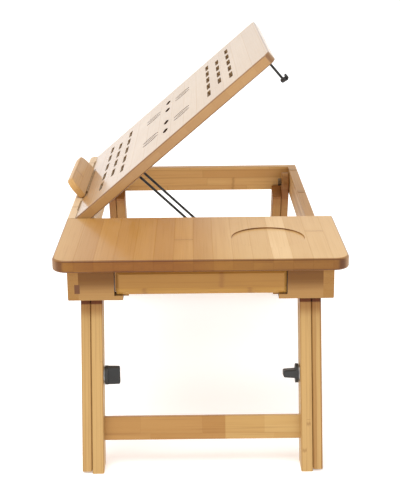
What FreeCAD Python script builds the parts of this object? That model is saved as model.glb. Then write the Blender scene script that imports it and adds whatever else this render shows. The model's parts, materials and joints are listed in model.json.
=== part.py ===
"""Folding bamboo laptop stand with a tilting, vented board and a drawer in its near end.

Millimetres, +Z up, floor at z = 0. X runs along the table, +X is the drawer end.
Y runs across it, -Y is the hinged front. Each piece is one named STEP file in parts/.
The tilting board and what it carries are built lying flat, then raised to the rest tilt.
Everything is built with a level top. As the far legs open a little wider than the near ones,
the finished table is set down on its four feet with a slight slope towards the far end.
"""
import FreeCAD, Part
import math
import os

V = FreeCAD.Vector
X_AXIS = V(1, 0, 0)
Y_AXIS = V(0, 1, 0)
Z_AXIS = V(0, 0, 1)

# --- overall sizes -----------------------------------------------------------------------
TABLE_LENGTH = 500.0
TABLE_WIDTH = 300.0
TABLE_HEIGHT = 220.0
PANEL_T = 13.0
PANEL_LENGTH = 164.5
CORNER_R = 16.0
EDGE_R = 2.5

# --- clearances --------------------------------------------------------------------------
RUN_FIT = 0.05
PART_GAP = 0.3
PANEL_GAP = 1.5

# --- frame -------------------------------------------------------------------------------
RAIL_H = 32.0
RAIL_T = 11.0
SIDE_OVERHANG = 15.0
END_OVERHANG = 10.0
END_T = 14.0
FAR_END_T = 11.0
RAIL_EDGE_R = 1.2
BLOCK_W = 36.2
BEAM_T = 8.0
BEAM_H = 10.5
BATTEN_H = 8.0
BATTEN_LIP = 3.0
PAD_T = 0.4
PAD_R = 5.0
KEY_W = 5.4
KEY_H = 9.6
KEY_DEPTH = 8.0

# --- tilting board -----------------------------------------------------------------------
BOARD_T = 12.3
BOARD_TILT = 40.4
BOARD_BACK_GAP = 4.5
BOARD_CORNER_R = 9.0
BOARD_EDGE_R = 1.7
STRIP_W = 9.5
HINGE_DROP = 1.0
HINGE_LENGTH = 44.0
HINGE_REACH = 110.0
KNUCKLE_R = 1.7
LEAF_T = 0.5
LEAF_H = 9.5
PIN_R = 0.8

# --- air slots ---------------------------------------------------------------------------
SLOT_LENGTH = 37.0
SLOT_W = 5.0
SLOT_PITCH = 52.0
SLOT_ROW_PITCH = 16.5
LOW_ROWS_AT = 33.0
HIGH_ROWS_AT = 200.0
FLOWER_SPREAD = 70.0
FLOWER_AT = 133.0
PETAL_INNER = 9.0
PETAL_LENGTH = 31.0
PETAL_W = 29.0
PETAL_SLIT = 4.0
SIDE_PETAL_REACH = 27.0
SIDE_PETAL_LENGTH = 22.0
SIDE_PETAL_W = 7.6

# --- cup recess --------------------------------------------------------------------------
CUP_R = 39.0
CUP_DEPTH = 1.5
CUP_FROM_END = 80.0
CUP_FROM_REAR = 78.0

# --- book ledge --------------------------------------------------------------------------
LEDGE_LENGTH = 142.0
LEDGE_T = 8.0
LEDGE_H = 26.0
LEDGE_CORNER_R = 15.0
LEDGE_HEEL_R = 4.0
LEDGE_INSET = 5.5
LEDGE_PAST_CENTRE = 3.6
LEDGE_KNUCKLE_R = 1.2
LEDGE_PIN_R = 0.5
LEDGE_AXIS_RISE = 0.4
LEDGE_LEAF_T = 0.7
LEDGE_LEAF_W = 3.2
LEDGE_EDGE_R = 1.25

# --- prop bail and its notched beam ------------------------------------------------------
WIRE_R = 1.5
BAIL_HALF_W = 17.5
BAIL_LENGTH = 101.0
BAIL_FROM_HINGE = 74.0
BAIL_REST_DROP = 43.4
BAIL_BEND_R = 5.0
BRACKET_L = 8.0
BRACKET_W = 7.0
NOTCH_COUNT = 4
NOTCH_STEP = 8.6
NOTCH_RIDGE = 1.2

# --- latch hook --------------------------------------------------------------------------
HOOK_R = 1.4
HOOK_DROP = 24.0
HOOK_FOOT = 8.5
HOOK_FOOT_H = 6.0
HOOK_TURN = -45.0
HOOK_FROM_SIDE = 14.0
HOOK_BEHIND_RAIL = 2.6
BUSH_R = 4.0
BUSH_H = 0.4
HOOK_SEAT = 7.0
HOOK_CAP_R = 2.6
HOOK_CAP_LENGTH = 8.0
KEEPER_HALF = 11.0
KEEPER_DEPTH = 8.5
KEEPER_H = 11.0

# --- legs --------------------------------------------------------------------------------
LEG_LEAN = 16.4
LEG_W = 26.0
OUTER_SLAT_T = 9.8
INNER_SLAT_T = 12.0
SLAT_PLAY = 0.6
PIVOT_DROP = 16.5
OUTER_FOOT_LIFT = 2.3
INNER_TOP = 16.0
REAR_KNOB_TURN = 2.5
FRONT_KNOB_TURN = 106.4
KNOB_ALONG = 102.5
LEG_TRAVEL = 70.0
CROSSBAR_H = 24.0
CROSSBAR_T = 11.0
CROSSBAR_SETBACK = 8.0
CROSSBAR_Z = 39.4
SLAT_EDGE_R = 1.4
CROSSBAR_EDGE_R = 1.2

# --- bolts and knobs ---------------------------------------------------------------------
BOLT_R = 2.5
BOLT_HEAD_R = 6.5
BOLT_HEAD_H = 2.6
NUT_R = 5.0
NUT_H = 4.6
WASHER_T = 0.8
KNOB_R = 10.0
KNOB_DISC_T = 3.0
KNOB_REACH = 15.4
WING_W = 18.5
WING_T = 9.0
WING_TIP_T = 7.0

# --- drawer ------------------------------------------------------------------------------
DRAWER_FRONT_T = 12.0
DRAWER_SIDE_GAP = 1.25
DRAWER_OFFSET = 0.7
DRAWER_TOP_GAP = 1.6
DRAWER_FLOOR_GAP = 0.6
DRAWER_RUN_GAP = 1.2
DRAWER_BACK_GAP = 0.6
DRAWER_LENGTH = 132.0
DRAWER_WALL_T = 8.0
DRAWER_WALL_H = 20.0
DRAWER_FLOOR_T = 3.0
DRAWER_BEVEL_W = 3.3
DRAWER_BEVEL_T = 2.6
RUNNER_T = 4.5
RUNNER_INSET = 4.2
RUNNER_LIP_T = 4.5
RUNNER_LIP_W = 5.2
HOUSING_BACK_T = 5.0

# --- places that follow from the sizes ---------------------------------------------------
END_X = TABLE_LENGTH / 2
SIDE_Y = TABLE_WIDTH / 2
TOP_Z = TABLE_HEIGHT
RAIL_TOP = TOP_Z - PANEL_T
RAIL_BOTTOM = RAIL_TOP - RAIL_H
RAIL_OUT = SIDE_Y - SIDE_OVERHANG
RAIL_IN = RAIL_OUT - RAIL_T
FRAME_X = END_X - END_OVERHANG
BLOCK_X = FRAME_X - END_T
BLOCK_IN = RAIL_IN - BLOCK_W
PANEL_X = END_X - PANEL_LENGTH
BOARD_X0 = -END_X
BOARD_X1 = PANEL_X - PANEL_GAP
BOARD_MID_X = (BOARD_X0 + BOARD_X1) / 2
STRIP_Y = -SIDE_Y + STRIP_W
HINGE_GAP = 2 * LEAF_T + PART_GAP
BOARD_Y0 = STRIP_Y + HINGE_GAP
BOARD_Y1 = SIDE_Y - BOARD_BACK_GAP
BOARD_UNDER = TOP_Z - BOARD_T
HINGE_Y = STRIP_Y + HINGE_GAP / 2
HINGE_Z = TOP_Z - HINGE_DROP
LEDGE_X = BOARD_MID_X + LEDGE_PAST_CENTRE
LEDGE_AXIS_Y = BOARD_Y0 + LEDGE_INSET
LEDGE_IN_Y = LEDGE_AXIS_Y - PART_GAP
LEDGE_OUT_Y = LEDGE_IN_Y - LEDGE_T
LEDGE_AXIS_Z = TOP_Z + LEDGE_AXIS_RISE
BAIL_Y = HINGE_Y + BAIL_FROM_HINGE
BAIL_Z = BOARD_UNDER - WIRE_R - PART_GAP
HOOK_X = BOARD_X1 - HOOK_FROM_SIDE
HOOK_Y = RAIL_OUT + HOOK_BEHIND_RAIL
HOOK_END_Z = BOARD_UNDER - HOOK_DROP
LEAN = math.radians(LEG_LEAN)
PIVOT_Z = RAIL_TOP - PIVOT_DROP
STOP_DROP = PIVOT_Z - RAIL_BOTTOM
BLOCK_RELIEF = PART_GAP / math.cos(LEAN)
LEG_STOP_RUN = (LEG_W / 2 + STOP_DROP * math.sin(LEAN)) / math.cos(LEAN)
PIVOT_X = BLOCK_X - BLOCK_RELIEF - LEG_STOP_RUN
FAR_STOP_RUN = FRAME_X - FAR_END_T - BLOCK_RELIEF - PIVOT_X
FAR_LEAN = math.acos(LEG_W / 2 / math.hypot(FAR_STOP_RUN, STOP_DROP)) - math.atan2(STOP_DROP, FAR_STOP_RUN)
NEAR_LEG_END = PIVOT_Z / math.cos(LEAN)
FAR_LEG_END = NEAR_LEG_END + LEG_W / 2 * (math.tan(LEAN) - math.tan(FAR_LEAN))
NEAR_FOOT_X = PIVOT_X + NEAR_LEG_END * math.sin(LEAN)
FAR_FOOT_X = -PIVOT_X - FAR_LEG_END * math.sin(FAR_LEAN)
FAR_FOOT_Z = PIVOT_Z - FAR_LEG_END * math.cos(FAR_LEAN)
SLOPE = math.atan2(FAR_FOOT_Z, NEAR_FOOT_X - FAR_FOOT_X)
OUTER_SLAT_Y1 = RAIL_IN - SLAT_PLAY
OUTER_SLAT_Y0 = OUTER_SLAT_Y1 - OUTER_SLAT_T
INNER_SLAT_Y1 = OUTER_SLAT_Y0 - PART_GAP
INNER_SLAT_Y0 = INNER_SLAT_Y1 - INNER_SLAT_T
DRAWER_HALF_W = BLOCK_IN - DRAWER_SIDE_GAP
DRAWER_TOP = RAIL_TOP - DRAWER_TOP_GAP
RUNNER_TOP = RAIL_BOTTOM + RUNNER_LIP_T
DRAWER_Z = RUNNER_TOP + PART_GAP
DRAWER_FACE_X = FRAME_X - DRAWER_FRONT_T
DRAWER_BACK_X = DRAWER_FACE_X - DRAWER_LENGTH
RUNNER_OUT = BLOCK_IN - RUNNER_INSET
RUNNER_IN = RUNNER_OUT - RUNNER_T
DRAWER_BOX_Y = RUNNER_IN - DRAWER_RUN_GAP
HOUSING_X = DRAWER_BACK_X - DRAWER_BACK_GAP
TILT = math.radians(BOARD_TILT)
LEDGE_TOP = TOP_Z + PART_GAP + LEDGE_H
LEDGE_LEAN_Y = HINGE_Y + (LEDGE_OUT_Y - HINGE_Y) * math.cos(TILT) - (LEDGE_TOP - HINGE_Z) * math.sin(TILT)
LEDGE_FRONT_Y = LEDGE_LEAN_Y + LEDGE_EDGE_R * (math.cos(TILT) + math.sin(TILT) - 1)
CENTRE_SHIFT_Y = -(SIDE_Y + LEDGE_FRONT_Y) / 2
NEAR_REACH_X = NEAR_FOOT_X + LEG_W / 2 / math.cos(LEAN + SLOPE)
FOOT_SPREAD = math.hypot(NEAR_FOOT_X - FAR_FOOT_X, FAR_FOOT_Z)
FAR_REACH_X = NEAR_FOOT_X - FOOT_SPREAD - LEG_W / 2 / math.cos(FAR_LEAN - SLOPE)
CENTRE_SHIFT_X = -(NEAR_REACH_X + FAR_REACH_X) / 2


# --- helpers -----------------------------------------------------------------------------
def block(x0, x1, y0, y1, z0, z1):
    """Return a box between two corners."""
    low = V(min(x0, x1), min(y0, y1), min(z0, z1))
    return Part.makeBox(abs(x1 - x0), abs(y1 - y0), abs(z1 - z0), low)


def rod(x, y, z, radius, length, axis):
    """Return a cylinder that starts at a point and runs along an axis."""
    return Part.makeCylinder(radius, length, V(x, y, z), axis)


def prism(points, along):
    """Return the solid swept by a flat outline of points."""
    wire = Part.makePolygon(points + [points[0]])
    return Part.Face(wire).extrude(along)


def edges_where(shape, test):
    """Return the straight edges of a shape that pass a test on their two ends."""
    chosen = []
    for edge in shape.Edges:
        if len(edge.Vertexes) == 2 and isinstance(edge.Curve, Part.Line):
            if test(edge.Vertexes[0].Point, edge.Vertexes[1].Point):
                chosen.append(edge)
    return chosen


def upright_at(x, y):
    """Return a test for the upright edge at a corner."""
    def test(p, q):
        near = max(abs(p.x - x), abs(p.y - y), abs(q.x - x), abs(q.y - y))
        return near < 1e-4 and abs(p.z - q.z) > 1e-4
    return test


def on_level(z):
    """Return a test for edges that lie at one height."""
    def test(p, q):
        return abs(p.z - z) < 1e-4 and abs(q.z - z) < 1e-4
    return test


def round_corners(shape, corners, radius):
    """Round the upright corners of a plate, given as (x, y) points."""
    for x, y in corners:
        shape = shape.makeFillet(radius, edges_where(shape, upright_at(x, y)))
    return shape


def rim_edges(shape, z, skip=None):
    """Return every edge of a plate's face at a height, but none on the skipped side."""
    chosen = []
    for edge in shape.Edges:
        box = edge.BoundBox
        if abs(box.ZMin - z) < 1e-3 and abs(box.ZMax - z) < 1e-3:
            if skip is None or not skip(box):
                chosen.append(edge)
    return chosen


def mirror_x(shape):
    """Mirror a shape to the other end of the table."""
    return shape.mirror(V(0, 0, 0), X_AXIS)


def mirror_y(shape):
    """Mirror a shape to the other side of the table."""
    return shape.mirror(V(0, 0, 0), Y_AXIS)


def raised(shape):
    """Turn what the flat board carries up to the rest tilt."""
    turned = shape.copy()
    turned.rotate(V(0, HINGE_Y, HINGE_Z), X_AXIS, BOARD_TILT)
    return turned


def leaned(shape, lean):
    """Set a leg piece, drawn hanging from the origin, on its pivot at the near end."""
    turned = shape.copy()
    turned.rotate(V(0, 0, 0), Y_AXIS, -math.degrees(lean))
    turned.translate(V(PIVOT_X, 0, PIVOT_Z))
    return turned


def set_down(shape):
    """Stand a piece of the level table on the floor, with the origin midway between its extremes."""
    stood = shape.copy()
    stood.rotate(V(NEAR_FOOT_X, 0, 0), Y_AXIS, -math.degrees(SLOPE))
    stood.translate(V(CENTRE_SHIFT_X, CENTRE_SHIFT_Y, 0))
    return stood


def footed(shape, lift):
    """Cut a leg piece off level with the floor, or a little above it."""
    reach = TABLE_LENGTH + TABLE_WIDTH
    return shape.cut(block(-reach, reach, -reach, reach, -reach, lift))


def save(node, shapes, foot_lift=None):
    """Write one node, a single solid or a group of separate solids."""
    shapes = shapes if isinstance(shapes, list) else [shapes]
    shapes = [set_down(shape) for shape in shapes]
    if foot_lift is not None:
        shapes = [footed(shape, foot_lift) for shape in shapes]
    solids = [solid for shape in shapes for solid in shape.Solids]
    whole = solids[0] if len(solids) == 1 else Part.makeCompound(solids)
    whole.exportStep("parts/" + node + ".step")


# --- top ---------------------------------------------------------------------------------
def fixed_panel():
    """Fixed end panel with its cup recess."""
    panel = block(PANEL_X, END_X, -SIDE_Y, SIDE_Y, RAIL_TOP, TOP_Z)
    panel = round_corners(panel, [(END_X, -SIDE_Y), (END_X, SIDE_Y)], CORNER_R)
    inner_side = lambda box: box.XMax < PANEL_X + 1e-3
    for level in (TOP_Z, RAIL_TOP):
        panel = panel.makeFillet(EDGE_R, rim_edges(panel, level, inner_side))
    cup_x = END_X - CUP_FROM_END
    cup_y = SIDE_Y - CUP_FROM_REAR
    cup = rod(cup_x, cup_y, TOP_Z - CUP_DEPTH, CUP_R, 2 * CUP_DEPTH, Z_AXIS)
    cup = cup.makeFillet(CUP_DEPTH / 2, rim_edges(cup, TOP_Z - CUP_DEPTH))
    return panel.cut(cup)


def front_strip():
    """Fixed strip that carries the board's hinges along the front."""
    strip = block(BOARD_X0, BOARD_X1, -SIDE_Y, STRIP_Y, RAIL_TOP, TOP_Z)
    strip = round_corners(strip, [(BOARD_X0, -SIDE_Y)], min(CORNER_R / 2, STRIP_W - 1))
    inner = lambda box: box.YMin > STRIP_Y - 1e-3 or box.XMin > BOARD_X1 - 1e-3
    for level in (TOP_Z, RAIL_TOP):
        strip = strip.makeFillet(EDGE_R, rim_edges(strip, level, inner))
    for x in hinge_places():
        strip = strip.cut(hinge_relief(x))
    return strip


# --- board hinges ------------------------------------------------------------------------
def hinge_places():
    """Return the X of each board hinge's middle."""
    return [BOARD_MID_X - HINGE_REACH, BOARD_MID_X + HINGE_REACH]


def hinge_relief(x):
    """Space that a hinge barrel needs in the strip and the board."""
    length = HINGE_LENGTH + 2 * PART_GAP
    return rod(x - length / 2, HINGE_Y, HINGE_Z, KNUCKLE_R + PART_GAP, length, X_AXIS)


def knuckle_spans(x):
    """Return the X spans of a hinge's knuckles: outer, middle, outer."""
    step = HINGE_LENGTH / 3
    start = x - HINGE_LENGTH / 2
    return [(start + i * step + PART_GAP / 2, start + (i + 1) * step - PART_GAP / 2) for i in range(3)]


def hinge_leaf(x, y0, y1, spans):
    """One leaf of a board hinge: a plate with knuckles over the given spans."""
    plate_top = HINGE_Z - KNUCKLE_R - PART_GAP
    leaf = block(x - HINGE_LENGTH / 2, x + HINGE_LENGTH / 2, y0, y1, HINGE_Z - LEAF_H, plate_top)
    for x0, x1 in spans:
        leaf = leaf.fuse(block(x0, x1, y0, y1, plate_top, HINGE_Z))
        leaf = leaf.fuse(rod(x0, HINGE_Y, HINGE_Z, KNUCKLE_R, x1 - x0, X_AXIS))
    bore = rod(x - HINGE_LENGTH, HINGE_Y, HINGE_Z, PIN_R + RUN_FIT, 2 * HINGE_LENGTH, X_AXIS)
    return leaf.cut(bore).removeSplitter()


def fixed_leaves():
    """Hinge leaves on the front strip."""
    leaves = []
    for x in hinge_places():
        spans = knuckle_spans(x)
        leaves.append(hinge_leaf(x, STRIP_Y, STRIP_Y + LEAF_T, [spans[0], spans[2]]))
    return leaves


def moving_leaves():
    """Hinge leaves on the board's front edge."""
    leaves = []
    for x in hinge_places():
        spans = knuckle_spans(x)
        leaves.append(raised(hinge_leaf(x, BOARD_Y0 - LEAF_T, BOARD_Y0, [spans[1]])))
    return leaves


def hinge_pins():
    """Pins of the board hinges."""
    start = HINGE_LENGTH / 2
    return [rod(x - start, HINGE_Y, HINGE_Z, PIN_R, HINGE_LENGTH, X_AXIS) for x in hinge_places()]


# --- tilting board -----------------------------------------------------------------------
def slot(x, y):
    """One air slot with round ends, cut right through the board."""
    half = (SLOT_LENGTH - SLOT_W) / 2
    z0 = BOARD_UNDER - 1
    depth = BOARD_T + 2
    tool = block(x - half, x + half, y - SLOT_W / 2, y + SLOT_W / 2, z0, z0 + depth)
    for end in (x - half, x + half):
        tool = tool.fuse(rod(end, y, z0, SLOT_W / 2, depth, Z_AXIS))
    return tool


def slot_rows(first_row):
    """Three rows of air slots, five, four and five to a row."""
    tools = []
    for row, count in enumerate((5, 4, 5)):
        y = BOARD_Y0 + first_row + row * SLOT_ROW_PITCH
        for i in range(count):
            tools.append(slot(BOARD_MID_X + (i - (count - 1) / 2) * SLOT_PITCH, y))
    return tools


def lens(x, y, half_length, half_width, along_x):
    """Leaf-shaped prism through the board, pointed at both ends."""
    z0 = BOARD_UNDER - 1
    tip = V(half_length, 0, 0) if along_x else V(0, half_length, 0)
    side = V(0, half_width, 0) if along_x else V(half_width, 0, 0)
    centre = V(x, y, z0)
    one = Part.Arc(centre - tip, centre + side, centre + tip).toShape()
    two = Part.Arc(centre + tip, centre - side, centre - tip).toShape()
    return Part.Face(Part.Wire([one, two])).extrude(V(0, 0, BOARD_T + 2))


def upright_petal(x, y):
    """Petal of two bowed slits, joined to the board at both tips, with a slit between them."""
    half = PETAL_LENGTH / 2
    ring = lens(x, y, half, PETAL_W / 2, False)
    ring = ring.cut(lens(x, y, half, PETAL_W / 2 - PETAL_SLIT, False))
    bridge = PETAL_LENGTH * 0.12
    z0 = BOARD_UNDER - 2
    for end in (y - half, y + half):
        ring = ring.cut(block(x - PETAL_W, x + PETAL_W, end - bridge, end + bridge, z0, TOP_Z + 2))
    middle = lens(x, y, half - 1.3 * bridge, PETAL_SLIT / 2, False)
    return [ring, middle]


def flower(x):
    """Four-petal flower cut into the board."""
    y = BOARD_Y0 + FLOWER_AT
    reach = PETAL_INNER + PETAL_LENGTH / 2
    tools = []
    for sign in (-1, 1):
        tools += upright_petal(x, y + sign * reach)
        tools.append(lens(x + sign * SIDE_PETAL_REACH, y, SIDE_PETAL_LENGTH / 2, SIDE_PETAL_W / 2, True))
    return tools


def tilt_board():
    """Tilting board with air slots, flowers and hinge reliefs."""
    board = block(BOARD_X0, BOARD_X1, BOARD_Y0, BOARD_Y1, BOARD_UNDER, TOP_Z)
    board = round_corners(board, [(BOARD_X0, BOARD_Y1), (BOARD_X1, BOARD_Y1)], BOARD_CORNER_R)
    front = lambda box: box.YMax < BOARD_Y0 + 1e-3
    for level in (TOP_Z, BOARD_UNDER):
        board = board.makeFillet(BOARD_EDGE_R, rim_edges(board, level, front))
    tools = slot_rows(LOW_ROWS_AT) + slot_rows(HIGH_ROWS_AT)
    for sign in (-1, 1):
        tools += flower(LEDGE_X + sign * FLOWER_SPREAD)
    tools += [hinge_relief(x) for x in hinge_places()]
    tools.append(ledge_groove())
    tools.append(ledge_leaf_plate(LEDGE_AXIS_Y, TOP_Z - LEDGE_LEAF_T, TOP_Z + PART_GAP))
    tools.append(rod(HOOK_X, HOOK_Y, BOARD_UNDER - 1, BUSH_R, HOOK_SEAT + 1, Z_AXIS))
    return raised(board.cut(Part.makeCompound(tools)))


# --- book ledge --------------------------------------------------------------------------
def ledge_groove():
    """Groove that the ledge's hinge barrel lies in."""
    length = LEDGE_LENGTH + 2 * PART_GAP
    return rod(LEDGE_X - length / 2, LEDGE_AXIS_Y, LEDGE_AXIS_Z, LEDGE_KNUCKLE_R + PART_GAP, length, X_AXIS)


def ledge_leaf_plate(y1, z0, z1):
    """Plate under the ledge that ends at y1, in front of its hinge barrel."""
    half = LEDGE_LENGTH / 2 - LEDGE_CORNER_R
    y0 = LEDGE_AXIS_Y - LEDGE_KNUCKLE_R - LEDGE_LEAF_W
    return block(LEDGE_X - half, LEDGE_X + half, y0, y1, z0, z1)


def ledge_spans(first):
    """Return every second knuckle span of the ledge hinge."""
    count = 7
    step = (LEDGE_LENGTH - 2 * LEDGE_CORNER_R) / count
    start = LEDGE_X - LEDGE_LENGTH / 2 + LEDGE_CORNER_R
    spans = [(start + i * step + PART_GAP / 2, start + (i + 1) * step - PART_GAP / 2) for i in range(count)]
    return spans[first::2]


def ledge_leaf(z0, z1, spans):
    """One leaf of the ledge hinge, with its knuckles."""
    leaf = ledge_leaf_plate(LEDGE_AXIS_Y - LEDGE_KNUCKLE_R, z0, z1)
    for x0, x1 in spans:
        leaf = leaf.fuse(rod(x0, LEDGE_AXIS_Y, LEDGE_AXIS_Z, LEDGE_KNUCKLE_R, x1 - x0, X_AXIS))
        leaf = leaf.fuse(block(x0, x1, LEDGE_AXIS_Y - LEDGE_KNUCKLE_R - 1, LEDGE_AXIS_Y, z0, z1))
    start = LEDGE_X - LEDGE_LENGTH
    bore = rod(start, LEDGE_AXIS_Y, LEDGE_AXIS_Z, LEDGE_PIN_R + RUN_FIT, 2 * LEDGE_LENGTH, X_AXIS)
    return raised(leaf.cut(bore).removeSplitter())


def ledge_board_leaf():
    """Hinge leaf let into the board."""
    return ledge_leaf(TOP_Z - LEDGE_LEAF_T, TOP_Z, ledge_spans(0))


def ledge_own_leaf():
    """Hinge leaf let into the ledge's underside."""
    return ledge_leaf(TOP_Z + PART_GAP, TOP_Z + PART_GAP + LEDGE_LEAF_T, ledge_spans(1))


def ledge_pin():
    """Pin of the ledge hinge."""
    length = LEDGE_LENGTH - 2 * LEDGE_CORNER_R
    return raised(rod(LEDGE_X - length / 2, LEDGE_AXIS_Y, LEDGE_AXIS_Z, LEDGE_PIN_R, length, X_AXIS))


def book_ledge():
    """Ledge that stops a book or laptop from sliding off the raised board."""
    half = LEDGE_LENGTH / 2
    z0 = TOP_Z + PART_GAP
    ledge = block(LEDGE_X - half, LEDGE_X + half, LEDGE_OUT_Y, LEDGE_IN_Y, z0, z0 + LEDGE_H)
    heel = [e for e in edges_where(ledge, on_level(z0)) if e.BoundBox.YMax < LEDGE_OUT_Y + 1e-3]
    ledge = ledge.makeFillet(LEDGE_HEEL_R, heel)
    corners = [e for e in edges_where(ledge, on_level(z0 + LEDGE_H)) if e.BoundBox.YLength > 1]
    ledge = ledge.makeFillet(LEDGE_CORNER_R, corners)
    rims = []
    for edge in ledge.Edges:
        box = edge.BoundBox
        if box.YLength < 1e-3 and box.ZMax > z0 + LEDGE_HEEL_R + 1 and box.ZLength + box.XLength > 1:
            rims.append(edge)
    ledge = ledge.makeFillet(LEDGE_EDGE_R, rims)
    ledge = ledge.cut(ledge_groove())
    return raised(ledge.cut(ledge_leaf_plate(LEDGE_AXIS_Y, z0, z0 + LEDGE_LEAF_T)))


# --- prop bail ---------------------------------------------------------------------------
def bail_tip_centre(board_angle):
    """Return the (y, z) of the bail's tip while the board stands at an angle."""
    share = board_angle / BOARD_TILT
    a = math.radians(board_angle)
    dy = BAIL_Y - HINGE_Y
    dz = BAIL_Z - HINGE_Z
    y = HINGE_Y + dy * math.cos(a) - dz * math.sin(a)
    z = HINGE_Z + dy * math.sin(a) + dz * math.cos(a)
    drop = math.radians(BAIL_REST_DROP * share)
    return y + BAIL_LENGTH * math.cos(drop), z - BAIL_LENGTH * math.sin(drop)


def prop_bail():
    """U-shaped wire prop, hung under the board and resting in the first notch."""
    w = BAIL_HALF_W
    r = BAIL_BEND_R
    far = BAIL_Y + BAIL_LENGTH
    diag = r * (1 - math.cos(math.pi / 4))
    ear = BRACKET_L / 2 - PART_GAP
    arm_a = Part.makeLine(V(-w, BAIL_Y, BAIL_Z), V(-w, far - r, BAIL_Z))
    corner_a = [V(-w, far - r, BAIL_Z), V(-w + diag, far - diag, BAIL_Z), V(-w + r, far, BAIL_Z)]
    bend_a = Part.Arc(*corner_a).toShape()
    tip = Part.makeLine(V(-w + r, far, BAIL_Z), V(w - r, far, BAIL_Z))
    bend_b = Part.Arc(V(w - r, far, BAIL_Z), V(w - diag, far - diag, BAIL_Z), V(w, far - r, BAIL_Z)).toShape()
    arm_b = Part.makeLine(V(w, far - r, BAIL_Z), V(w, BAIL_Y, BAIL_Z))
    path = Part.Wire([arm_a, bend_a, tip, bend_b, arm_b])
    circle = Part.Wire([Part.makeCircle(WIRE_R, V(-w, BAIL_Y, BAIL_Z), Y_AXIS)])
    wire = path.makePipeShell([circle], True, False)
    for sign in (-1, 1):
        start = sign * w if sign > 0 else -w - ear
        stub = rod(start, BAIL_Y, BAIL_Z, WIRE_R, ear, X_AXIS)
        knee = Part.makeSphere(WIRE_R, V(sign * w, BAIL_Y, BAIL_Z))
        wire = wire.fuse(stub).fuse(knee)
    wire.rotate(V(0, BAIL_Y, BAIL_Z), X_AXIS, -(BOARD_TILT + BAIL_REST_DROP))
    return raised(wire)


def bail_brackets():
    """Two saddles under the board that the bail's ends turn in."""
    brackets = []
    for sign in (-1, 1):
        x0 = sign * (BAIL_HALF_W + WIRE_R + PART_GAP)
        x1 = x0 + sign * BRACKET_L
        drop = BAIL_Z - WIRE_R - 1.2
        body = block(x0, x1, BAIL_Y - BRACKET_W / 2, BAIL_Y + BRACKET_W / 2, drop, BOARD_UNDER)
        bore = rod(min(x0, x1) - 1, BAIL_Y, BAIL_Z, WIRE_R + RUN_FIT, BRACKET_L + 2, X_AXIS)
        brackets.append(raised(body.cut(bore)))
    return brackets


def prop_beam():
    """Plain cross beam under the board's well, carrying the notch rack."""
    return block(-BEAM_T / 2, BEAM_T / 2, -RAIL_IN, RAIL_IN, RAIL_BOTTOM, RAIL_BOTTOM + BEAM_H)


def notch_rack():
    """Stepped rack glued on the prop beam; its notches hold the bail's tip."""
    rest_y, rest_z = bail_tip_centre(BOARD_TILT)
    clear = WIRE_R + PART_GAP
    front = rest_y - NOTCH_STEP / 2
    rear = rest_y + (NOTCH_COUNT - 0.5) * NOTCH_STEP
    top = notch_height(rear)
    rack = block(-BEAM_T / 2, BEAM_T / 2, front, rear, RAIL_BOTTOM + BEAM_H, top)
    path = [V(-BEAM_T, front - 1, rest_z - clear)]
    steps = 16
    for i in range(steps + 1):
        y, z = bail_tip_centre(BOARD_TILT * (1 - i / steps))
        path.append(V(-BEAM_T, y, z - clear))
    sky = [V(-BEAM_T, path[-1].y, TOP_Z), V(-BEAM_T, front - 1, TOP_Z)]
    rack = rack.cut(prism(path + sky, V(2 * BEAM_T, 0, 0)))
    for i in range(NOTCH_COUNT):
        y = rest_y + i * NOTCH_STEP
        z = notch_height(y) - (NOTCH_RIDGE if i else 0)
        rack = rack.cut(rod(-BEAM_T, y, z, clear, 2 * BEAM_T, X_AXIS))
        rack = rack.cut(block(-BEAM_T, BEAM_T, y - clear, y, z, TOP_Z))
    return rack.removeSplitter()


def notch_height(y):
    """Return the height of the bail tip's path above a place on the beam."""
    angle = BOARD_TILT
    while angle > 0 and bail_tip_centre(angle)[0] < y:
        angle -= 0.1
    return bail_tip_centre(angle)[1]


# --- latch hook --------------------------------------------------------------------------
def hook_turned(shape):
    """Return a hook shape turned about its stem to where it hangs at rest."""
    turned = shape.copy()
    turned.rotate(V(HOOK_X, HOOK_Y, 0), Z_AXIS, HOOK_TURN)
    return turned


def hook_wire():
    """Return the flat board's hook: a stem, a foot and a raised tip."""
    top = BOARD_UNDER + HOOK_SEAT - 2 * PART_GAP
    hook = rod(HOOK_X, HOOK_Y, HOOK_END_Z, HOOK_R, top - HOOK_END_Z, Z_AXIS)
    foot = rod(HOOK_X, HOOK_Y, HOOK_END_Z, HOOK_R, HOOK_FOOT - HOOK_R, Y_AXIS)
    tip_y = HOOK_Y + HOOK_FOOT - HOOK_R
    tip = rod(HOOK_X, tip_y, HOOK_END_Z, HOOK_R, HOOK_FOOT_H - HOOK_R, Z_AXIS)
    hook = hook.fuse(foot).fuse(Part.makeSphere(HOOK_R, V(HOOK_X, HOOK_Y, HOOK_END_Z)))
    return hook.fuse(tip).fuse(Part.makeSphere(HOOK_R, V(HOOK_X, tip_y, HOOK_END_Z)))


def latch_hook():
    """Wire hook that turns in a bush under the board and locks it down on the rear rail."""
    return raised(hook_turned(hook_wire().removeSplitter()))


def hook_cap():
    """Soft cap round the hook's foot, which grips the keeper pocket."""
    cap = rod(HOOK_X, HOOK_Y - HOOK_CAP_R, HOOK_END_Z, HOOK_CAP_R, HOOK_CAP_LENGTH, Y_AXIS)
    return raised(hook_turned(cap.cut(hook_wire())))


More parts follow.
